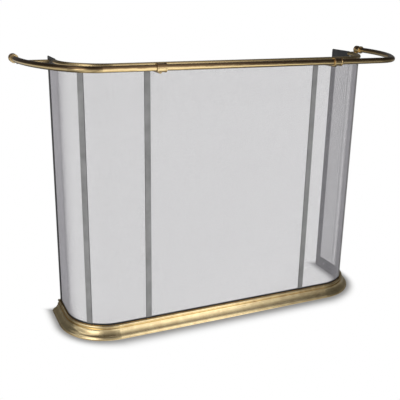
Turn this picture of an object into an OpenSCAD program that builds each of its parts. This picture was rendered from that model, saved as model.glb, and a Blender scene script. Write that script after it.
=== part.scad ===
// Bowed fireplace screen: a spark mesh wrapped round three sides of a hearth, on a brass moulding,
// with a brass hand rail carried in front of it on four arms. Lengths are in millimetres.
// +X is to the right, +Y towards the wall and +Z up. The origin is on the floor, in the middle of
// the whole screen's width and depth.

/* [Screen] */
// Width over the mesh
screen_w = 947; // [800:1:1200]
// Depth from the front of the mesh to the wall
screen_d = 221; // [195:1:320]
// Height of the side frames
screen_h = 780; // [600:1:900]
// Outer radius of the mesh at its two front corners
corner_r = 120; // [90:1:140]
// Thickness of the woven mesh
mesh_t = 1.2; // [0.8:0.1:1.6]
// Gap between two mesh panels behind a strip
seam_gap = 4; // [3.6:0.1:6]

/* [Openings in the mesh] */
// Number of openings up each mesh panel
open_rows = 12; // [8:1:12]
// Number of openings across the middle panel
open_cols = 12; // [6:1:12]
// Number of openings across each flat or round part of the other panels
open_side_cols = 2; // [1:1:3]
// Width of the bars between the openings
open_bar = 11; // [8:0.5:14]

/* [Steel channels and strips] */
// Thickness of the folded steel sheet
sheet_t = 0.8; // [0.6:0.1:1.2]
// Height of the channel along the bottom
bottom_channel_h = 40; // [37:0.5:60]
// Width of the channel up each wall edge
back_channel_w = 22; // [21.5:0.5:32]
// Height of the channel along the top of each side
top_channel_h = 30; // [24:0.5:45]
// Radius of that channel's corner at the wall
top_corner_r = 4; // [1:0.5:8]
// Width of the upright strips
strip_w = 16; // [12:0.5:22]
// Thickness of the upright strips
strip_t = 1.5; // [1:0.1:2.5]
// Distance of the front strips and arms from the middle
strip_x = 261; // [200:1:300]
// Angle of the corner strips round the corners
corner_strip_angle = 41; // [30:1:55]

/* [Base moulding] */
// Height of the brass moulding
moulding_h = 36; // [34:0.5:36.5]
// Reach of the moulding beyond the bottom channel
moulding_w = 26.5; // [25:0.5:30]
// Thickness of the moulding's brass
moulding_t = 1.2; // [0.8:0.1:1.6]
// Diameter of the bead along the moulding's top
bead_d = 7; // [5.5:0.1:7.2]
// Width of the neck under the bead
neck_w = 5.4; // [4.8:0.1:6]
// Width of the step under the bead
step_w = 8.5; // [8:0.1:9.5]
// Distance of the step below the moulding's top
step_drop = 10.5; // [9.5:0.1:11]
// Radius of the hollow part of the curve
cove_r = 18; // [16:0.5:19]
// Angle through which the hollow part turns
cove_angle = 68; // [64:1:71]
// Height of the flat toe at the floor
toe_h = 2.4; // [1.5:0.1:3]
// Reach of the toe beyond the curve
toe_w = 1.3; // [1:0.1:2]

/* [Top rail] */
// Diameter of the tube along the mesh's top edge
top_rail_d = 12.7; // [11:0.1:14]
// Wall of that tube
top_rail_t = 1; // [0.8:0.1:1.5]
// Distance of its centre below the top of the side frames
top_rail_drop = 7.5; // [6.5:0.5:12]
// Length of tube that runs on past each corner
top_rail_tail = 10; // [4:1:30]

/* [Hand rail] */
// Diameter of the hand rail
rail_d = 16; // [14:0.1:18]
// Wall of the hand rail
rail_t = 1; // [0.8:0.1:1.5]
// Distance of the hand rail's centre below the top of the side frames
rail_drop = 3.5; // [2:0.5:9]
// Distance of the hand rail's centre in front of the mesh
rail_reach = 104; // [90:1:160]
// Width between the centres of the hand rail's two ends
rail_w = 1136; // [1110:1:1400]
// Radius of the tight bend at each corner
rail_corner_r = 88; // [60:1:130]
// Straight length at each end, to the nearest half millimetre
rail_tail = 25; // [24:1:40]

/* [Collars, ferrules and arms] */
// Diameter of the collars and ferrules
collar_d = 22; // [21:0.5:26]
// Extra diameter of the raised bands at their ends
band_rise = 2; // [1:0.1:3]
// Width of the raised bands
band_w = 4; // [3:0.1:5]
// Chamfer of the raised bands
band_chamfer = 0.6; // [0.3:0.1:0.8]
// Length of the two front collars
collar_len = 26; // [25:1:40]
// Length of the two end ferrules
ferrule_len = 22; // [20:1:22]
// Thickness of the end caps
cap_t = 5; // [4:0.5:8]
// Length of the plug that holds an end cap in the tube
plug_len = 8; // [5:1:15]
// Diameter of the arms
arm_d = 10; // [8:0.5:12]
// Distance of the arms' centre below the top of the side frames
arm_drop = 14; // [11:0.5:16]
// Distance of the side arms from the wall
side_arm_back = 16; // [13:0.5:17]

/* [Fasteners] */
// Diameter of the screws that hold the moulding
screw_d = 3; // [2.5:0.1:4]
// Height of those screws
screw_z = 22; // [18:0.5:24]
// Length of those screws under the head
screw_len = 7; // [6:0.5:12]
// Diameter of the pan heads
screw_head_d = 6; // [5:0.1:8]
// Height of the pan heads
screw_head_h = 1.8; // [1.2:0.1:2.5]
// Distance of the inner pair of front screws from the middle
screw_x_inner = 130; // [80:1:160]
// Distance of the outer pair of front screws from where the corners begin
screw_bend = 33.5; // [20:0.5:60]
// Distance of the side screws from the wall
screw_back = 50; // [40:1:65]
// Diameter of the strips' rivets
rivet_d = 3; // [2:0.1:3.2]
// Diameter of the rivets' heads
rivet_head_d = 6; // [5:0.1:8]
// Height of the rivets' heads
rivet_head_h = 1; // [0.6:0.1:1.5]
// Number of rivets in a strip
rivet_count = 3; // [2:1:6]
// Distance of the end rivets from the ends of a strip
rivet_end = 30; // [15:1:60]
// Diameter of the set screws in the collars and ferrules
set_screw_d = 4; // [3:0.1:4]
// Distance of a collar's set screw from the arm's centre
set_screw_off = 6.5; // [5.5:0.1:6.5]
// Depth of a set screw below the collar's surface
set_screw_sink = 0.3; // [0.1:0.1:0.6]

/* [Fits] */
// Clearance between pieces that slide into or lie on each other
slip = 0.1; // [0.05:0.01:0.2]
// Length by which holes and cuts run past the metal
cut_over = 1; // [0.5:0.1:2]

/* [Hidden] */
$fn = 96;

LEFT = -1;
RIGHT = 1;
brass = "#b28e54";
dark_brass = "#8f6f3c";
steel = "#6e6e70";
bright_steel = "#9a9a9c";
mesh_grey = [0.55, 0.55, 0.57, 0.45];

// Heights, measured down from the top of the side frames
top_rail_z = screen_h - top_rail_drop;
rail_z = screen_h - rail_drop;
arm_z = screen_h - arm_drop;

// Plan: the hand rail's collars reach furthest forward and the side frames touch the wall
band_d = collar_d + band_rise;
total_d = screen_d + rail_reach + band_d / 2;
wall_y = total_d / 2;
front_y = wall_y - screen_d;
half_w = screen_w / 2;
flat_half = half_w - corner_r;
bend_y = front_y + corner_r;

// Channels: two legs round the mesh, measured outwards from the mesh's outer face
leg_out = slip + sheet_t;
leg_in = -mesh_t - slip - sheet_t;
slot_w = mesh_t + 2 * slip;
mesh_z0 = sheet_t + slip;
mesh_top = top_rail_z - top_rail_d / 2 + 2 * top_rail_t;
upper_z0 = screen_h - top_channel_h;

// Strips stand on the bottom channel and end under the top rail
strip_z0 = bottom_channel_h + slip;
strip_z1 = top_rail_z - top_rail_d / 2 - slip;
strip_face = slip + strip_t;
backing_face = -mesh_t - slip - strip_t;
rivet_hole_d = rivet_d + 2 * slip;
screw_hole_d = screw_d + 2 * slip;

// Openings in the mesh: one bar's width stays clear of every channel, strip and rail
open_z0 = bottom_channel_h + open_bar;
open_z1 = top_rail_z - top_rail_d / 2 - open_bar;
open_h = (open_z1 - open_z0 + open_bar) / open_rows - open_bar;
open_edge = strip_w / 2 + open_bar;
tangent_edge = open_bar / 2;
corner_edge_a = open_edge / corner_r * 180 / PI;
tangent_edge_a = tangent_edge / corner_r * 180 / PI;
open_bar_a = open_bar / corner_r * 180 / PI;

// Moulding: the hollow arc and the round arc share one tangent
mould_p0 = leg_out + slip;
bead_r = bead_d / 2;
bead_p = bead_r + moulding_t;
step_z = moulding_h - step_drop;
cove_p = step_w + cove_r;
cove_z = step_z;
round_p1 = moulding_w - toe_w;
round_r = (round_p1 - cove_p + cove_r * cos(cove_angle)) / (1 - cos(cove_angle));
round_p = cove_p - (cove_r + round_r) * cos(cove_angle);
round_z = cove_z - (cove_r + round_r) * sin(cove_angle);
cove_end = cove_p - cove_r * cos(cove_angle);

// Hand rail: a tight bend, then a wide bend of whole millimetres that ends square to the wall.
// They meet where the rail has turned by the larger angle of a 3, 4, 5 triangle
turn_c = 0.6;
turn_s = 0.8;
turn_a = atan2(turn_s, turn_c);
rail_y = front_y - rail_reach;
rail_half = rail_w / 2;
rail_end_y = wall_y - cap_t;
wide_r = round((rail_end_y - rail_tail - rail_y - rail_corner_r * (1 - turn_c)) / turn_c);
tail_y = rail_y + rail_corner_r * (1 - turn_c) + wide_r * turn_c;
rail_straight = rail_half - rail_corner_r * turn_s - wide_r * (1 - turn_s);
bore_d = rail_d + 2 * slip;
ferrule_y = wall_y - cap_t - ferrule_len / 2;
side_arm_y = wall_y - side_arm_back;
arm_overlap = 7;

// Mirrors a right-hand piece for the left side
module on_side(side) {
    if (side == LEFT) mirror([1, 0, 0]) children();
    else children();
}

// The next three lay a profile (x outwards from the mesh, y up) along part of the screen's plan
module front_run(x0, x1) {
    translate([x1, front_y, 0]) rotate([90, 0, -90]) linear_extrude(x1 - x0) children();
}

module corner_run(a0, a1) {
    translate([flat_half, bend_y, 0])
        rotate_extrude(angle = a1 - a0, start = a0 - 90) translate([corner_r, 0]) children();
}

module side_run(y0, y1) {
    translate([half_w, y1, 0]) rotate([90, 0, 0]) linear_extrude(y1 - y0) children();
}

// The same profile round the whole plan, the sides ending at y1
module whole_run(y1) {
    front_run(-flat_half, flat_half) children();
    for (side = [LEFT, RIGHT]) {
        on_side(side) corner_run(0, 90) children();
        on_side(side) side_run(bend_y, y1) children();
    }
}

// Turns a shape whose +Z points out of the mesh to face out of the front, a side or a corner
module on_front(x, z) {
    translate([x, front_y, z]) rotate([90, 0, 0]) children();
}

module on_flank(side, y, z) {
    on_side(side) translate([half_w, y, z]) rotate([0, 90, 0]) children();
}

module on_corner(side, z) {
    on_side(side) translate([flat_half, bend_y, z]) rotate([0, 0, corner_strip_angle - 90])
        translate([corner_r, 0, 0]) rotate([0, 90, 0]) children();
}

// Where the moulding's screws go
module screw_places() {
    for (side = [LEFT, RIGHT]) {
        for (x = [screw_x_inner, flat_half - screw_bend]) on_front(side * x, screw_z) children();
        on_flank(side, wall_y - screw_back, screw_z) children();
    }
}

module screw_holes() {
    screw_places() translate([0, 0, leg_in - cut_over])
        cylinder(d = screw_hole_d, h = screw_len + 2 * cut_over);
}

// Where the rivets of one strip go, up its length
module rivet_heights() {
    span = strip_z1 - strip_z0 - 2 * rivet_end;
    for (i = [0:rivet_count - 1])
        translate([0, 0, strip_z0 + rivet_end + i * span / (rivet_count - 1)]) children();
}

module rivet_places() {
    rivet_heights() {
        for (side = [LEFT, RIGHT]) {
            on_front(side * strip_x, 0) children();
            on_corner(side, 0) children();
        }
    }
}

module rivet_holes() {
    rivet_places() translate([0, 0, backing_face - cut_over])
        cylinder(d = rivet_hole_d, h = strip_face - backing_face + 2 * cut_over);
}

// Profiles
module channel_profile(z1) {
    translate([leg_in, 0]) difference() {
        square([leg_out - leg_in, z1]);
        translate([sheet_t, sheet_t]) square([slot_w, z1]);
    }
}

module mesh_profile() {
    translate([-mesh_t, mesh_z0]) square([mesh_t, mesh_top - mesh_z0]);
}

// One column of openings, and columns of them from p0 to p1 along the front or a side
module openings_profile() {
    for (i = [0:open_rows - 1])
        translate([-mesh_t - cut_over, open_z0 + i * (open_h + open_bar)])
            square([mesh_t + 2 * cut_over, open_h]);
}

module front_openings(p0, p1, count) {
    w = (p1 - p0 + open_bar) / count - open_bar;
    for (i = [0:count - 1])
        front_run(p0 + i * (w + open_bar), p0 + i * (w + open_bar) + w) openings_profile();
}

module side_openings(p0, p1, count) {
    w = (p1 - p0 + open_bar) / count - open_bar;
    for (i = [0:count - 1])
        side_run(p0 + i * (w + open_bar), p0 + i * (w + open_bar) + w) openings_profile();
}

// The same round a corner, between two angles
module corner_openings(a0, a1, count) {
    w = (a1 - a0 + open_bar_a) / count - open_bar_a;
    for (i = [0:count - 1])
        corner_run(a0 + i * (w + open_bar_a), a0 + i * (w + open_bar_a) + w) openings_profile();
}

module strip_profile() {
    translate([slip, strip_z0]) square([strip_t, strip_z1 - strip_z0]);
}

module backing_profile() {
    translate([backing_face, strip_z0]) square([strip_t, strip_z1 - strip_z0]);
}

module tube_profile(d, t) {
    difference() {
        circle(d = d);
        circle(d = d - 2 * t);
    }
}

module top_rail_profile() {
    translate([-mesh_t / 2, top_rail_z]) difference() {
        tube_profile(top_rail_d, top_rail_t);
        translate([-slot_w / 2, -top_rail_d]) square([slot_w, top_rail_d]);
    }
}

// The ogee curve, grown inwards by t for the hollow behind it
module ogee(t) {
    difference() {
        square([cove_end, step_z - t]);
        translate([cove_p, cove_z]) circle(r = cove_r + t);
    }
    intersection() {
        translate([round_p, round_z]) circle(r = round_r - t);
        square([moulding_w, moulding_h]);
    }
}

module moulding_profile() {
    translate([mould_p0, 0]) difference() {
        union() {
            translate([bead_p, moulding_h - bead_r]) circle(d = bead_d);
            translate([0, step_z - moulding_t]) square([neck_w, moulding_h - bead_r - step_z + moulding_t]);
            square([moulding_t, moulding_h]);
            ogee(0);
            square([moulding_w, toe_h]);
        }
        difference() {
            union() {
                ogee(moulding_t);
                square([round_p, toe_h]);
            }
            square([moulding_t, moulding_h]);
        }
    }
}

// A turned sleeve with a raised, chamfered band at each end, its axis along +Z
module sleeve(len) {
    r0 = bore_d / 2;
    r1 = collar_d / 2;
    r2 = band_d / 2;
    c = band_chamfer;
    half = len / 2;
    rotate_extrude() polygon([
        [r0, -half], [r2 - c, -half], [r2, c - half], [r2, band_w - c - half],
        [r2 - c, band_w - half], [r1, band_w - half], [r1, half - band_w], [r2 - c, half - band_w],
        [r2, half - band_w + c], [r2, half - c], [r2 - c, half], [r0, half]]);
}

// Moves a shape along X onto the hand rail's front, or along Y onto its end
module on_rail_front() {
    translate([strip_x, rail_y, rail_z]) rotate([0, 90, 0]) children();
}

module on_rail_end(y) {
    translate([rail_half, y, rail_z]) rotate([-90, 0, 0]) children();
}

// Pieces
module base_moulding() {
    color(brass) difference() {
        whole_run(wall_y) moulding_profile();
        screw_holes();
    }
}

module bottom_channel() {
    color(steel) difference() {
        whole_run(wall_y) channel_profile(bottom_channel_h);
        screw_holes();
    }
}

module back_channel(side) {
    z0 = bottom_channel_h + slip;
    z1 = upper_z0 - slip;
    color(steel) on_side(side) translate([half_w + leg_in, wall_y - back_channel_w, z0]) difference() {
        cube([leg_out - leg_in, back_channel_w, z1 - z0]);
        translate([sheet_t, -sheet_t, -cut_over])
            cube([slot_w, back_channel_w, z1 - z0 + 2 * cut_over]);
    }
}

module top_channel(side) {
    y0 = bend_y + top_rail_tail + slip;
    color(steel) on_side(side) difference() {
        side_run(y0, wall_y) translate([0, screen_h]) mirror([0, 1]) channel_profile(top_channel_h);
        translate([half_w + leg_in - cut_over, wall_y - top_corner_r, screen_h - top_corner_r])
            rotate([90, 0, 90]) linear_extrude(leg_out - leg_in + 2 * cut_over) difference() {
                square(top_corner_r + cut_over);
                circle(r = top_corner_r);
            }
    }
}

module mesh_center() {
    color(mesh_grey) difference() {
        front_run(-strip_x + seam_gap / 2, strip_x - seam_gap / 2) mesh_profile();
        front_openings(open_edge - strip_x, strip_x - open_edge, open_cols);
        screw_holes();
    }
}

module mesh_front(side) {
    seam_a = seam_gap / 2 / corner_r * 180 / PI;
    color(mesh_grey) difference() {
        on_side(side) {
            front_run(strip_x + seam_gap / 2, flat_half) mesh_profile();
            corner_run(0, corner_strip_angle - seam_a) mesh_profile();
        }
        on_side(side) {
            front_openings(strip_x + open_edge, flat_half - tangent_edge, open_side_cols);
            corner_openings(tangent_edge_a, corner_strip_angle - corner_edge_a, open_side_cols);
        }
        screw_holes();
    }
}

module mesh_side(side) {
    seam_a = seam_gap / 2 / corner_r * 180 / PI;
    color(mesh_grey) difference() {
        on_side(side) {
            corner_run(corner_strip_angle + seam_a, 90) mesh_profile();
            side_run(bend_y, wall_y - sheet_t - slip) mesh_profile();
        }
        on_side(side) {
            corner_openings(corner_strip_angle + corner_edge_a, 90 - tangent_edge_a, open_side_cols);
            side_openings(bend_y + tangent_edge, wall_y - back_channel_w - open_bar, open_side_cols);
        }
        screw_holes();
    }
}

// A flat bar on the mesh's front; inner says that it lies behind the mesh
module front_strip(side, inner) {
    color(steel) difference() {
        on_side(side) front_run(strip_x - strip_w / 2, strip_x + strip_w / 2) {
            if (inner) backing_profile();
            else strip_profile();
        }
        rivet_holes();
    }
}

module corner_strip(side, inner) {
    half_a = strip_w / 2 / corner_r * 180 / PI;
    color(steel) difference() {
        on_side(side) corner_run(corner_strip_angle - half_a, corner_strip_angle + half_a) {
            if (inner) backing_profile();
            else strip_profile();
        }
        rivet_holes();
    }
}

module top_rail() {
    color(dark_brass) whole_run(bend_y + top_rail_tail) top_rail_profile();
}

// A quarter ring of tube in the rail's front right quarter, cut along the plane where the bends
// meet: the front part of it is kept, or the rear part
module rail_bend(r, front) {
    cut = 2 * r;
    intersection() {
        rotate([0, 0, -90]) rotate_extrude(angle = 90)
            translate([r, 0]) tube_profile(rail_d, rail_t);
        rotate([0, 0, turn_a - 90]) translate([0, front ? -cut : 0, -rail_d]) cube([cut, cut, 2 * rail_d]);
    }
}

module hand_rail() {
    color(brass) union() {
        translate([rail_straight, rail_y, rail_z]) rotate([90, 0, -90])
            linear_extrude(2 * rail_straight) tube_profile(rail_d, rail_t);
        for (side = [LEFT, RIGHT]) on_side(side) {
            translate([rail_straight, rail_y + rail_corner_r, rail_z]) rail_bend(rail_corner_r, true);
            translate([rail_half - wide_r, tail_y, rail_z]) rail_bend(wide_r, false);
            translate([rail_half, rail_end_y, rail_z]) rotate([90, 0, 0])
                linear_extrude(rail_end_y - tail_y) tube_profile(rail_d, rail_t);
        }
    }
}

module rail_collar(side) {
    color(brass) on_side(side) difference() {
        on_rail_front() sleeve(collar_len);
        translate([strip_x - set_screw_off, rail_y, rail_z - band_d])
            cylinder(d = set_screw_d + slip, h = band_d);
    }
}

module rail_ferrule(side) {
    color(brass) on_side(side) difference() {
        on_rail_end(ferrule_y) sleeve(ferrule_len);
        translate([rail_half, ferrule_y, rail_z - band_d])
            cylinder(d = set_screw_d + slip, h = band_d);
    }
}

// Runs from the collar to the front strip, cut to fit round the collar and the top rail
module front_arm(side) {
    y0 = rail_y + arm_overlap;
    y1 = front_y - strip_face - slip;
    color(dark_brass) on_side(side) difference() {
        translate([strip_x, y0, arm_z]) rotate([-90, 0, 0]) cylinder(d = arm_d, h = y1 - y0);
        on_rail_front() cylinder(d = collar_d + 2 * slip, h = collar_len, center = true);
        translate([strip_x, front_y + mesh_t / 2, top_rail_z]) rotate([0, 90, 0])
            cylinder(d = top_rail_d + 2 * slip, h = 2 * arm_d, center = true);
    }
}

// Runs from the back channel to the ferrule, cut to fit round the ferrule
module side_arm(side) {
    x0 = half_w + leg_out + slip;
    x1 = rail_half - arm_overlap;
    color(dark_brass) on_side(side) difference() {
        translate([x0, side_arm_y, arm_z]) rotate([0, 90, 0]) cylinder(d = arm_d, h = x1 - x0);
        on_rail_end(ferrule_y) cylinder(d = collar_d + 2 * slip, h = 2 * ferrule_len, center = true);
    }
}

// A disc with a groove round it and a plug that fits the tube
module rail_end_cap(side) {
    plug_d = rail_d - 2 * rail_t - 2 * slip;
    groove = band_chamfer;
    color(brass) on_side(side) on_rail_end(wall_y - cap_t) rotate_extrude() polygon([
        [0, -plug_len], [plug_d / 2, -plug_len], [plug_d / 2, slip], [collar_d / 2, slip],
        [collar_d / 2, groove + slip], [band_d / 2 - groove, groove + slip],
        [band_d / 2, 2 * groove + slip], [band_d / 2, cap_t - groove],
        [band_d / 2 - groove, cap_t], [0, cap_t]]);
}

module moulding_screws() {
    color(bright_steel) screw_places() {
        translate([0, 0, leg_in - slip - screw_head_h]) cylinder(d = screw_head_d, h = screw_head_h);
        translate([0, 0, leg_in - slip - screw_head_h / 2]) cylinder(d = screw_d, h = screw_len);
    }
}

module strip_rivets() {
    color(bright_steel) rivet_places() {
        translate([0, 0, backing_face - slip - rivet_head_h]) cylinder(d = rivet_head_d, h = rivet_head_h);
        translate([0, 0, backing_face - slip - rivet_head_h / 2])
            cylinder(d = rivet_d, h = strip_face - backing_face + slip + rivet_head_h / 2);
    }
}

module rail_set_screws() {
    len = (collar_d - rail_d) / 2 - slip - set_screw_sink;
    z = rail_z - collar_d / 2 + set_screw_sink;
    color(bright_steel) for (side = [LEFT, RIGHT]) on_side(side) {
        translate([strip_x - set_screw_off, rail_y, z]) cylinder(d = set_screw_d - slip, h = len);
        translate([rail_half, ferrule_y, z]) cylinder(d = set_screw_d - slip, h = len);
    }
}

base_moulding();
bottom_channel();
back_channel(LEFT);  // back_channel_left
back_channel(RIGHT);  // back_channel_right
top_channel(LEFT);  // top_channel_left
top_channel(RIGHT);  // top_channel_right
mesh_center();
mesh_front(LEFT);  // mesh_front_left
mesh_front(RIGHT);  // mesh_front_right
mesh_side(LEFT);  // mesh_side_left
mesh_side(RIGHT);  // mesh_side_right
front_strip(LEFT, false);  // strip_front_left
front_strip(RIGHT, false);  // strip_front_right
corner_strip(LEFT, false);  // strip_corner_left
corner_strip(RIGHT, false);  // strip_corner_right
front_strip(LEFT, true);  // backing_front_left
front_strip(RIGHT, true);  // backing_front_right
corner_strip(LEFT, true);  // backing_corner_left
corner_strip(RIGHT, true);  // backing_corner_right
top_rail();
hand_rail();
rail_collar(LEFT);  // rail_collar_left
rail_collar(RIGHT);  // rail_collar_right
front_arm(LEFT);  // front_arm_left
front_arm(RIGHT);  // front_arm_right
rail_ferrule(LEFT);  // rail_ferrule_left
rail_ferrule(RIGHT);  // rail_ferrule_right
side_arm(LEFT);  // side_arm_left
side_arm(RIGHT);  // side_arm_right
rail_end_cap(LEFT);  // rail_end_cap_left
rail_end_cap(RIGHT);  // rail_end_cap_right
moulding_screws();
strip_rivets();
rail_set_screws();
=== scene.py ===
# Looks of the fireplace screen: woven wire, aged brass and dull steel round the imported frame.
# Lengths are in metres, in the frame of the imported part.
import math

import bpy
from mathutils import Matrix, Vector


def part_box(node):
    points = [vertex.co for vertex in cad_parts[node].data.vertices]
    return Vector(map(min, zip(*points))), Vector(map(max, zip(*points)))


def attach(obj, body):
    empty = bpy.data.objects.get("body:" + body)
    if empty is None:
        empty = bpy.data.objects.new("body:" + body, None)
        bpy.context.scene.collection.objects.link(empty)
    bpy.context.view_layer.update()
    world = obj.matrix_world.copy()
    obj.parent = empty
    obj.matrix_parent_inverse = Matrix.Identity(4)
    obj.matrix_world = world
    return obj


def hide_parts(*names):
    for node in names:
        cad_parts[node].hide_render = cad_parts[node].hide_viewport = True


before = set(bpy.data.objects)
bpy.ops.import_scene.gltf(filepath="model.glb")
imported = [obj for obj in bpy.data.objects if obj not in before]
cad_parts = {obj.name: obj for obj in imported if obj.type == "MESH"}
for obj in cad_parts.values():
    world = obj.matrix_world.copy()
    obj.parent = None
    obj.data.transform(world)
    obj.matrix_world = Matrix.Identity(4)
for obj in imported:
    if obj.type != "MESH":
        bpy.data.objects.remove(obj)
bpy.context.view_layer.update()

# The camera that fits the photograph, in a picture of 400 x 400 pixels; angles in radians
CAMERA_PLACE = Vector((-0.8377, -1.6804, 0.9645))
CAMERA_YAW = 0.4249
CAMERA_PITCH = 0.3152
CAMERA_ROLL = 0.0184
CAMERA_NEAR = 0.05
IMAGE_WIDTH = 400
FOCAL_PIXELS = 651.2
CENTER_SHIFT_PIXELS = 0.5
SENSOR_WIDTH = 36.0

# The screen's plan: the mesh's outer face, straight across the front, round a bend at each side
# and straight back to the wall
MESH_T = 0.0012
CORNER_R = 0.12
STRIP_ANGLE = math.radians(41)
SEAM_GAP = 0.004
FRONT_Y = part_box("mesh_center")[0].y
HALF_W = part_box("mesh_side_right")[1].x
BEND_Y = FRONT_Y + CORNER_R
FLAT_HALF = HALF_W - CORNER_R

# Where the bend starts and ends, as distances round the plan from the middle of the front
BEND_START = FLAT_HALF
BEND_END = FLAT_HALF + CORNER_R * math.pi / 2

# Woven wire: its thickness and pitch, how many straight runs follow a bend, and the four corners
# of its section, along and out from the mesh
WIRE_D = 0.0007
WIRE_PITCH = 0.00225
BEND_RUNS = 13
WIRE_CORNERS = ((-WIRE_D / 2, 0), (0, -WIRE_D / 2), (WIRE_D / 2, 0), (0, WIRE_D / 2))

# Studio: the plain light on the screen from all round, and one soft lamp that metal doesn't mirror
DOME_STRENGTH = 0.9
KEY_PLACE = (-1.6, -2.6, 3.0)
KEY_TARGET = (0, 0, 0.3)
KEY_SIZE = 1.8
KEY_POWER = 50

# What metal mirrors of the studio, a painted reflection that lights nothing, as greys by degrees above
# the horizon and by degrees to the right of the front, with a painted soft box at the left and one in
# front; and a band high up behind
SOFT_BOX_STRENGTH = 2.4
DOME_BY_HEIGHT = ((0, 1.0), (12, 1.0), (27, 0.82), (43, 0.62), (57, 0.46), (70, 0.33), (80, 0.2))
DOME_BY_TURN = (
    (-180, 0.05), (-120, 0.05), (-110, 0.08), (-101, 0.3), (-92, 0.3), (-84, 0.18), (-76, 0.3),
    (-68, 0.6), (-60, 0.95), (-46, 1.0), (-40, 0.7), (-34, 0.38), (-26, 0.18), (6, 0.18), (12, 0.3),
    (17, 0.72), (23, 0.75), (25.5, 0.45), (29, 0.1), (40, 0.05), (55, 0.04), (180, 0.05))
DOME_BEHIND = ((0, 0.0), (42, 0.0), (52, 0.14), (62, 0.14), (72, 0.0))

# How far the left soft box leans towards the middle overhead, and how far back the front's greys
# reach, as the Y of a direction
DOME_LEAN = 0.5
DOME_FRONT = 0.2

# Painted pools of light on the floor that only metal mirrors, as greys from left to right: just in front
# of the screen, further in front where a painted pool stands for the soft box's light, and behind
POOL_REACH = 1.6
POOL_NEAR = (
    (-1.6, 0.3), (-0.85, 0.3), (-0.68, 1.4), (-0.6, 1.3), (-0.54, 0.55), (-0.42, 0.5), (-0.36, 0.9),
    (-0.28, 1.15), (-0.15, 1.5), (0.02, 1.6), (0.1, 1.2), (0.2, 0.7), (0.32, 0.5), (0.43, 0.2), (1.6, 0.12))
POOL_FAR = (
    (-1.6, 0.55), (-0.5, 0.4), (-0.25, 0.3), (-0.05, 0.9), (0.1, 1.2), (0.7, 1.2), (1.1, 0.5), (1.6, 0.1))
POOL_BEHIND = ((-1.6, 0.5), (-0.95, 0.2), (-0.55, 0.12), (1.6, 0.2))

# The Y between which one of them turns into the next
NEAR_TO_FAR = (-0.45, -0.9)
FRONT_TO_BEHIND = (-0.02, 0.06)

# Floor: its grey in the painted shadow beside the moulding, which deepens the real shadow there, its grey
# further off, how wide the painted shadow is, how far it lies under the toe, and half its side
FLOOR_SHADOW = 0.35
FLOOR_PALE = 0.9
FLOOR_FADE = 0.07
FLOOR_DROP = 0.0003
FLOOR_HALF = 8

# Noise: nearly all its values lie between these
NOISE_LOW = 0.3
NOISE_HIGH = 0.7

# Noises, each by its scale, its detail and how it is squeezed along X, Y and Z
BLOTCHES = (38, 5, (1, 1, 1))
POLISH_LINES = (900, 2, (1, 1, 6))
STEEL_CLOUDS = (22, 4, (1, 1, 1))
MILL_GRAIN = (700, 2, (8, 8, 0.3))
WIRE_CLOUDS = (60, 2, (1, 1, 1))

# Brass: what the polishing lines do to the roughness, their height, and where patina turns into
# bright brass
POLISH_ROUGHNESS = (-0.05, 0.07)
POLISH_HEIGHT = 0.00002
PATINA_STOPS = (0.3, 0.62)

# Rails: painted shade and patina, a sum of the way that a surface faces (painted shade, dark brown on
# the upper side), a fixed part and the blotches of patina. Its stops run from the painted shade of the
# underside over two for the bright side and one halfway to the painted dark top
FACING_SHARE = 0.5
FACING_MIDDLE = 0.4
BLOTCH_SHARE = 0.2
PAINTED_SHADE_AND_PATINA_STOPS = (0.22, 0.34, 0.45, 0.54, 0.65)
UNDERSIDE_SHADE = 0.5

# Steel: how metallic it is under its oxide, what the mill grain does to the roughness and the
# grain's height
STEEL_METALLIC = 0.3
GRAIN_ROUGHNESS = (-0.08, 0.08)
GRAIN_HEIGHT = 0.00003

# Wire: its colours and its roughness
WIRE_COLORS = ((0.37, 0.361, 0.382), (0.415, 0.405, 0.428))
WIRE_ROUGHNESS = 0.45

WHITE = (1, 1, 1, 1)


# Nodes of a material or of the world

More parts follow.
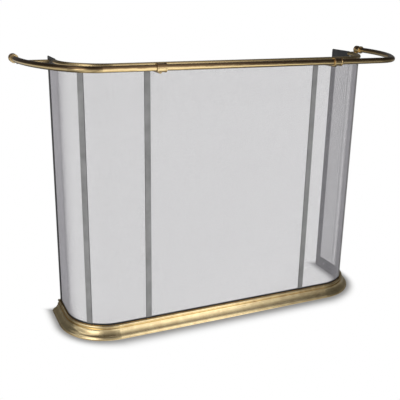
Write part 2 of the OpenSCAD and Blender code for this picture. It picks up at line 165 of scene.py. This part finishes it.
class Nodes:
    """A node tree, with short calls to add and join nodes."""

    def __init__(self, tree):
        self.tree = tree

    def add(self, kind, **values):
        node = self.tree.nodes.new(kind)
        for key, value in values.items():
            setattr(node, key, value)
        return node

    def join(self, source, target):
        self.tree.links.new(source, target)

    def put(self, value, target):
        """Sets a number on a socket, or joins an output to it."""
        if isinstance(value, (int, float)):
            target.default_value = value
        else:
            self.join(value, target)

    def math(self, operation, *values):
        """One sum of numbers or outputs."""
        node = self.add("ShaderNodeMath", operation=operation)
        for socket, value in zip(node.inputs, values):
            self.put(value, socket)
        return node.outputs[0]

    def blend(self, share, first, second):
        """The first value where the share is 0, the second where it is 1."""
        rest = self.math("MULTIPLY", first, self.math("SUBTRACT", 1, share))
        return self.math("ADD", rest, self.math("MULTIPLY", second, share))

    def parts(self, vector):
        """The X, Y and Z of a vector."""
        split = self.add("ShaderNodeSeparateXYZ")
        self.join(vector, split.inputs["Vector"])
        return [split.outputs[axis] for axis in "XYZ"]

    def ramp(self, source, stops):
        """Colours at given positions of a value."""
        ramp = self.add("ShaderNodeValToRGB")
        elements = ramp.color_ramp.elements
        while len(elements) < len(stops):
            elements.new(0.5)
        for element, (position, color) in zip(elements, stops):
            element.position = position
            element.color = (*color, 1)
        self.join(source, ramp.inputs["Fac"])
        return ramp.outputs["Color"]

    def greys(self, source, stops):
        """Greys at given positions of a value."""
        return self.ramp(source, [(position, (grey, grey, grey)) for position, grey in stops])

    def spread(self, source, low, high, to_low, to_high, shape="LINEAR"):
        """A value moved from one range to another."""
        node = self.add("ShaderNodeMapRange", interpolation_type=shape)
        names = ("From Min", "From Max", "To Min", "To Max")
        for name, value in zip(names, (low, high, to_low, to_high)):
            node.inputs[name].default_value = value
        self.join(source, node.inputs["Value"])
        return node.outputs["Result"]

    def mix(self, share, first, second):
        """The first shader where the share is 0, the second where it is 1."""
        node = self.add("ShaderNodeMixShader")
        for value, socket in zip((share, first, second), node.inputs):
            self.join(value, socket)
        return node.outputs[0]

    def ray(self, kind):
        return self.add("ShaderNodeLightPath").outputs[kind]

    def seen_by_sight(self):
        """1 for camera rays and for what metal and glass reflect or let through, else 0."""
        mirrored = self.math("MAXIMUM", self.ray("Is Glossy Ray"), self.ray("Is Transmission Ray"))
        return self.math("MAXIMUM", self.ray("Is Camera Ray"), mirrored)


class Shader(Nodes):
    """One material's node tree."""

    def __init__(self, name):
        self.material = bpy.data.materials.new(name)
        self.material.use_nodes = True
        super().__init__(self.material.node_tree)
        self.main = self.tree.nodes["Principled BSDF"]

    def place(self):
        """The surface point in the part's frame, in metres."""
        return self.add("ShaderNodeTexCoord").outputs["Object"]

    def noise(self, scale, detail, squeeze):
        mapping = self.add("ShaderNodeMapping")
        mapping.inputs["Scale"].default_value = squeeze
        self.join(self.place(), mapping.inputs["Vector"])
        noise = self.add("ShaderNodeTexNoise")
        noise.inputs["Scale"].default_value = scale
        noise.inputs["Detail"].default_value = detail
        self.join(mapping.outputs["Vector"], noise.inputs["Vector"])
        return noise.outputs["Fac"]

    def color(self, source, stops):
        self.join(self.ramp(source, stops), self.main.inputs["Base Color"])

    def surface(self, grain, roughness, change, height):
        """A fine grain that changes the roughness a little and stands a little proud."""
        low, high = (roughness + part for part in change)
        rough = self.spread(grain, NOISE_LOW, NOISE_HIGH, low, high)
        self.join(rough, self.main.inputs["Roughness"])
        bump = self.add("ShaderNodeBump")
        bump.inputs["Distance"].default_value = height
        bump.inputs["Strength"].default_value = 1.0
        self.join(grain, bump.inputs["Height"])
        self.join(bump.outputs["Normal"], self.main.inputs["Normal"])


# Materials

def polish(shader, roughness):
    """Makes a material metal with fine polishing lines."""
    shader.main.inputs["Metallic"].default_value = 1.0
    lines = shader.noise(*POLISH_LINES)
    shader.surface(lines, roughness, POLISH_ROUGHNESS, POLISH_HEIGHT)


def aged_brass(name, dark, bright, roughness):
    """Brass with a soft patina: blotches of darker patina and a slightly uneven face."""
    shader = Shader(name)
    polish(shader, roughness)
    shader.color(shader.noise(*BLOTCHES), list(zip(PATINA_STOPS, (dark, bright))))
    return shader.material


def brass_with_painted_shade(name, top, side, roughness):
    """Brass with painted shade: dark brown on its upper side and darker underneath by the way that its
    surface faces, with blotches of patina.
    """
    shader = Shader(name)
    polish(shader, roughness)
    normal = shader.add("ShaderNodeNewGeometry").outputs["Normal"]
    # Painted shade by the way that the surface faces: brown on top, darker underneath
    facing = shader.math("MULTIPLY_ADD", shader.parts(normal)[2], FACING_SHARE, FACING_MIDDLE)
    painted_shade_and_patina = shader.math("MULTIPLY_ADD", shader.noise(*BLOTCHES), BLOTCH_SHARE, facing)
    half = [(a + b) / 2 for a, b in zip(top, side)]
    under = [UNDERSIDE_SHADE * value for value in side]
    shader.color(painted_shade_and_patina, list(zip(PAINTED_SHADE_AND_PATINA_STOPS, (under, side, side, half, top))))
    return shader.material


def dull_steel(name, dark, bright, roughness):
    """Plain rolled steel: grey with a faint mill grain and cloudy oxide."""
    shader = Shader(name)
    shader.main.inputs["Metallic"].default_value = STEEL_METALLIC
    shader.color(shader.noise(*STEEL_CLOUDS), [(NOISE_LOW, dark), (NOISE_HIGH, bright)])
    grain = shader.noise(*MILL_GRAIN)
    shader.surface(grain, roughness, GRAIN_ROUGHNESS, GRAIN_HEIGHT)
    return shader.material


def wire_steel():
    """Steel wire with faint clouds."""
    shader = Shader("wire_steel")
    shader.main.inputs["Metallic"].default_value = STEEL_METALLIC
    shader.main.inputs["Roughness"].default_value = WIRE_ROUGHNESS
    shader.color(shader.noise(*WIRE_CLOUDS), list(zip((NOISE_LOW, NOISE_HIGH), WIRE_COLORS)))
    return shader.material


# Each paint: how it is made, its name, its two colours, its roughness, and what the names of the
# nodes that wear it start with
PAINTS = (
    (aged_brass, "bright_brass", (0.73, 0.56, 0.31), (0.88, 0.71, 0.41), 0.17, ("base_moulding",)),
    # Rails and arms: the first colour is a painted dark top, the second the brass itself
    (brass_with_painted_shade, "rail_brass", (0.19, 0.12, 0.062), (0.9, 0.69, 0.36), 0.15,
     ("hand_rail", "rail_collar", "rail_ferrule", "rail_end_cap")),
    (brass_with_painted_shade, "dull_brass", (0.5, 0.38, 0.2), (0.76, 0.58, 0.31), 0.2,
     ("top_rail", "front_arm", "side_arm")),
    (dull_steel, "dull_steel", (0.2, 0.2, 0.2), (0.29, 0.29, 0.29), 0.6,
     ("strip_front", "strip_corner", "strip_rivets", "backing")),
    # The channels' near-black is painted shade for the shade on their faces, far darker than the strips'
    # steel
    (dull_steel, "dark_steel", (0.025, 0.025, 0.027), (0.05, 0.05, 0.052), 0.5,
     ("bottom_channel", "back_channel", "top_channel")),
    (dull_steel, "screw_steel", (0.3, 0.3, 0.31), (0.42, 0.42, 0.43), 0.35,
     ("moulding_screws", "rail_set_screws")))


def paint_nodes():
    for make, name, first, second, roughness, starts in PAINTS:
        material = make(name, first, second, roughness)
        for node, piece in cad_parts.items():
            if node.startswith(starts):
                piece.data.materials.clear()
                piece.data.materials.append(material)


# The woven mesh

def plan_frame(distance):
    """Point on the mesh's outer face and the outward normal there, for a distance round the plan."""
    side = -1 if distance < 0 else 1
    reach = abs(distance)
    if reach <= BEND_START:
        return Vector((side * reach, FRONT_Y, 0)), Vector((0, -1, 0))
    if reach <= BEND_END:
        angle = (reach - BEND_START) / CORNER_R
        normal = Vector((side * math.sin(angle), -math.cos(angle), 0))
        return Vector((side * FLAT_HALF, BEND_Y, 0)) + normal * CORNER_R, normal
    return Vector((side * HALF_W, BEND_Y + reach - BEND_END, 0)), Vector((side, 0, 0))


def plan_stops(start, end):
    """Distances where a level wire needs a point: its ends, and steps round the bends."""
    length = BEND_END - BEND_START
    bend = [BEND_START + length * i / BEND_RUNS for i in range(BEND_RUNS + 1)]
    inner = [side * stop for side in (-1, 1) for stop in bend if start < side * stop < end]
    return sorted([start, *inner, end])


def wire_numbers(start, end):
    """The numbers of the wires that lie wholly between two distances."""
    half = WIRE_D / 2
    return range(math.ceil((start + half) / WIRE_PITCH), math.floor((end - half) / WIRE_PITCH) + 1)


class Wires:
    """Gathers square wires into one mesh."""

    def __init__(self):
        self.points = []
        self.faces = []

    def add(self, rings):
        """A closed tube through rings of four points each."""
        first = len(self.points)
        for ring in rings:
            self.points.extend(ring)
        self.faces.append([first, first + 1, first + 2, first + 3])
        for i in range(len(rings) - 1):
            low = first + 4 * i
            for j in range(4):
                k = (j + 1) % 4
                self.faces.append([low + j, low + 4 + j, low + 4 + k, low + k])
        last = first + 4 * (len(rings) - 1)
        self.faces.append([last + 3, last + 2, last + 1, last])

    def add_uprights(self, start, end, low, high):
        """The upright wires, which lie at the mesh's outer face."""
        for number in wire_numbers(start, end):
            point, normal = plan_frame(number * WIRE_PITCH)
            along = Vector((-normal.y, normal.x, 0))
            center = point - normal * (WIRE_D / 2)
            ring = [center + along * a + normal * b for a, b in WIRE_CORNERS]
            self.add([[p + Vector((0, 0, z)) for p in ring] for z in (low, high)])

    def add_levels(self, start, end, low, high):
        """The level wires, which lie at the mesh's inner face."""
        stops = [plan_frame(distance) for distance in plan_stops(start, end)]
        depth = MESH_T - WIRE_D / 2
        for number in wire_numbers(low, high):
            rings = []
            for point, normal in stops:
                center = point - normal * depth + Vector((0, 0, number * WIRE_PITCH))
                rings.append([center + Vector((0, 0, a)) + normal * b for a, b in WIRE_CORNERS])
            self.add(rings)

    def make(self, name, material):
        mesh = bpy.data.meshes.new(name)
        mesh.from_pydata(self.points, [], self.faces)
        mesh.validate()
        mesh.materials.append(material)
        piece = bpy.data.objects.new(name, mesh)
        bpy.context.scene.collection.objects.link(piece)
        return piece


def woven_panel(name, node, start, end, material):
    """The wires of one mesh panel between two distances round the plan."""
    low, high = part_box(node)
    wires = Wires()
    wires.add_uprights(start, end, low.z, high.z)
    wires.add_levels(start, end, low.z, high.z)
    piece = wires.make(name, material)
    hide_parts(node)
    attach(piece, "root")


def weave(material):
    """The five panels, which leave a gap at each strip."""
    strip_low, strip_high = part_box("strip_front_right")
    strip_x = (strip_low.x + strip_high.x) / 2
    corner_seam = BEND_START + CORNER_R * STRIP_ANGLE
    wall_end = BEND_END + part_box("mesh_side_right")[1].y - BEND_Y
    half = SEAM_GAP / 2
    spans = {
        "center": (-strip_x + half, strip_x - half),
        "front_right": (strip_x + half, corner_seam - half),
        "side_right": (corner_seam + half, wall_end),
        "front_left": (half - corner_seam, -strip_x - half),
        "side_left": (-wall_end, -corner_seam - half)}
    for key, (start, end) in spans.items():
        woven_panel("wires_" + key, "mesh_" + key, start, end, material)


# Camera and studio

def make_camera():
    data = bpy.data.cameras.new("camera")
    data.sensor_width = SENSOR_WIDTH
    data.lens = FOCAL_PIXELS / IMAGE_WIDTH * SENSOR_WIDTH
    data.shift_x = -CENTER_SHIFT_PIXELS / IMAGE_WIDTH
    data.shift_y = CENTER_SHIFT_PIXELS / IMAGE_WIDTH
    data.clip_start = CAMERA_NEAR
    level = Vector((math.sin(CAMERA_YAW), math.cos(CAMERA_YAW), 0))
    forward = level * math.cos(CAMERA_PITCH) - Vector((0, 0, math.sin(CAMERA_PITCH)))
    right = Vector((math.cos(CAMERA_YAW), -math.sin(CAMERA_YAW), 0))
    up = right.cross(forward)
    turned_right = right * math.cos(CAMERA_ROLL) + up * math.sin(CAMERA_ROLL)
    turned_up = up * math.cos(CAMERA_ROLL) - right * math.sin(CAMERA_ROLL)
    camera = bpy.data.objects.new("camera", data)
    bpy.context.scene.collection.objects.link(camera)
    turn = Matrix((turned_right, turned_up, -forward)).transposed()
    camera.matrix_world = Matrix.Translation(CAMERA_PLACE) @ turn.to_4x4()
    bpy.context.scene.camera = camera


def make_key_lamp():
    data = bpy.data.lights.new("key", "AREA")
    data.shape = "DISK"
    data.size = KEY_SIZE
    data.energy = KEY_POWER
    lamp = bpy.data.objects.new("key", data)
    bpy.context.scene.collection.objects.link(lamp)
    lamp.location = KEY_PLACE
    lamp.visible_glossy = False
    beam = Vector(KEY_TARGET) - Vector(KEY_PLACE)
    lamp.rotation_euler = beam.to_track_quat("-Z", "Y").to_euler()


def background(nodes, strength):
    node = nodes.add("ShaderNodeBackground")
    node.inputs["Color"].default_value = WHITE
    nodes.put(strength, node.inputs["Strength"])
    return node.outputs[0]


def by_height(nodes, z, stops):
    """Greys by degrees above the horizon."""
    return nodes.greys(z, [(math.sin(math.radians(degrees)), grey) for degrees, grey in stops])


def dome_turn(nodes, x, z, front):
    """How far a direction is turned to the right, from 0 at 180 degrees left to 1 at 180 degrees right."""
    overhead = nodes.math("MULTIPLY", z, z)
    lean = nodes.math("MULTIPLY", overhead, nodes.math("LESS_THAN", x, 0))
    width = nodes.math("SUBTRACT", 1, nodes.math("MULTIPLY", lean, DOME_LEAN))
    ahead = nodes.math("ARCSINE", nodes.math("DIVIDE", x, width))
    half_turn = nodes.math("MULTIPLY", nodes.math("SIGN", ahead), math.pi)
    turn = nodes.blend(front, nodes.math("SUBTRACT", half_turn, ahead), ahead)
    return nodes.math("MULTIPLY_ADD", turn, 0.5 / math.pi, 0.5)


def mirrored_dome(nodes):
    """How bright metal sees the studio in a direction."""
    x, y, z = nodes.parts(nodes.add("ShaderNodeTexCoord").outputs["Generated"])
    front = nodes.math("LESS_THAN", y, DOME_FRONT)
    turn = dome_turn(nodes, x, z, front)
    by_turn = nodes.greys(turn, [(0.5 + degrees / 360, grey) for degrees, grey in DOME_BY_TURN])
    band = nodes.math("MULTIPLY", by_height(nodes, z, DOME_BEHIND), nodes.math("SUBTRACT", 1, front))
    level = nodes.math("MULTIPLY_ADD", by_height(nodes, z, DOME_BY_HEIGHT), by_turn, band)
    return nodes.math("MULTIPLY", level, SOFT_BOX_STRENGTH)


def make_world():
    """Plain light for the object, plain white for the camera, and the graded studio for metal."""
    world = bpy.data.worlds.new("world")
    world.use_nodes = True
    nodes = Nodes(world.node_tree)
    nodes.tree.nodes.clear()
    light = background(nodes, DOME_STRENGTH)
    mirrored = nodes.mix(nodes.seen_by_sight(), light, background(nodes, mirrored_dome(nodes)))
    surface = nodes.mix(nodes.ray("Is Camera Ray"), mirrored, background(nodes, 1.0))
    nodes.join(surface, nodes.add("ShaderNodeOutputWorld").inputs["Surface"])
    bpy.context.scene.world = world


def mirrored_floor(shader):
    """Painted pools of light: how bright metal sees the floor at a place."""
    x, y, _ = shader.parts(shader.place())
    across = shader.math("MULTIPLY_ADD", x, 0.5 / POOL_REACH, 0.5)
    near, far, behind = (
        shader.greys(across, [(0.5 + 0.5 * place / POOL_REACH, grey) for place, grey in stops])
        for stops in (POOL_NEAR, POOL_FAR, POOL_BEHIND))
    front = shader.blend(shader.spread(y, *NEAR_TO_FAR, 0, 1), near, far)
    return shader.blend(shader.spread(y, *FRONT_TO_BEHIND, 0, 1), front, behind)


def floor_share(shader):
    """How much of the floor's white is its own: none beside the moulding, all of it further off; it also
    fades the painted shadow.
    """
    low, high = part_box("base_moulding")
    radius = BEND_Y - low.y
    x, y, _ = shader.parts(shader.place())
    width = shader.math("ABSOLUTE", x)
    across = shader.math("MAXIMUM", shader.math("SUBTRACT", width, high.x - radius), 0)
    forward = shader.math("MAXIMUM", shader.math("SUBTRACT", BEND_Y, y), 0)
    squares = shader.math("MULTIPLY_ADD", across, across, shader.math("MULTIPLY", forward, forward))
    reach = shader.math("SQRT", squares)
    outside = shader.math("SUBTRACT", reach, radius)
    inside = shader.math("SUBTRACT", HALF_W - high.x, outside)
    behind = shader.math("SUBTRACT", y, high.y)
    gap = shader.math("MAXIMUM", shader.math("MAXIMUM", outside, inside), behind)
    # The painted shadow is narrower at the sides
    sideways = shader.math("DIVIDE", across, shader.math("MAXIMUM", reach, radius))
    gap = shader.math("MULTIPLY", gap, shader.math("ADD", 1, sideways))
    return shader.spread(gap, 0, FLOOR_FADE, 0, 1, "SMOOTHSTEP")


def floor_material():
    """Pale with a painted shadow over the real one beside the screen, and plain white to the camera further
    off.
    """
    shader = Shader("floor_white")
    share = floor_share(shader)
    # Painted shadow: the floor's grey darkens to FLOOR_SHADOW towards the moulding
    shader.color(share, [(0, (FLOOR_SHADOW,) * 3), (1, (FLOOR_PALE,) * 3)])
    shader.main.inputs["Roughness"].default_value = 1.0
    shader.main.inputs["Specular IOR Level"].default_value = 0.0
    glossy = shader.ray("Is Glossy Ray")
    glow = shader.add("ShaderNodeEmission")
    # Painted reflection: to glossy rays the floor glows with the painted pools of light
    shader.join(shader.blend(glossy, 1, mirrored_floor(shader)), glow.inputs["Strength"])
    seen = shader.math("MULTIPLY", shader.seen_by_sight(), shader.math("MAXIMUM", share, glossy))
    surface = shader.mix(seen, shader.main.outputs[0], glow.outputs[0])
    shader.join(surface, shader.tree.nodes["Material Output"].inputs["Surface"])
    return shader.material


def make_floor():
    mesh = bpy.data.meshes.new("floor")
    corners = [(x * FLOOR_HALF, y * FLOOR_HALF, 0) for x, y in ((-1, -1), (1, -1), (1, 1), (-1, 1))]
    mesh.from_pydata(corners, [], [(0, 1, 2, 3)])
    floor = bpy.data.objects.new("floor", mesh)
    bpy.context.scene.collection.objects.link(floor)
    floor.location.z = -FLOOR_DROP
    mesh.materials.append(floor_material())


make_camera()
make_world()
make_floor()
make_key_lamp()
paint_nodes()
weave(wire_steel())

bpy.context.scene.view_settings.view_transform = "Standard"
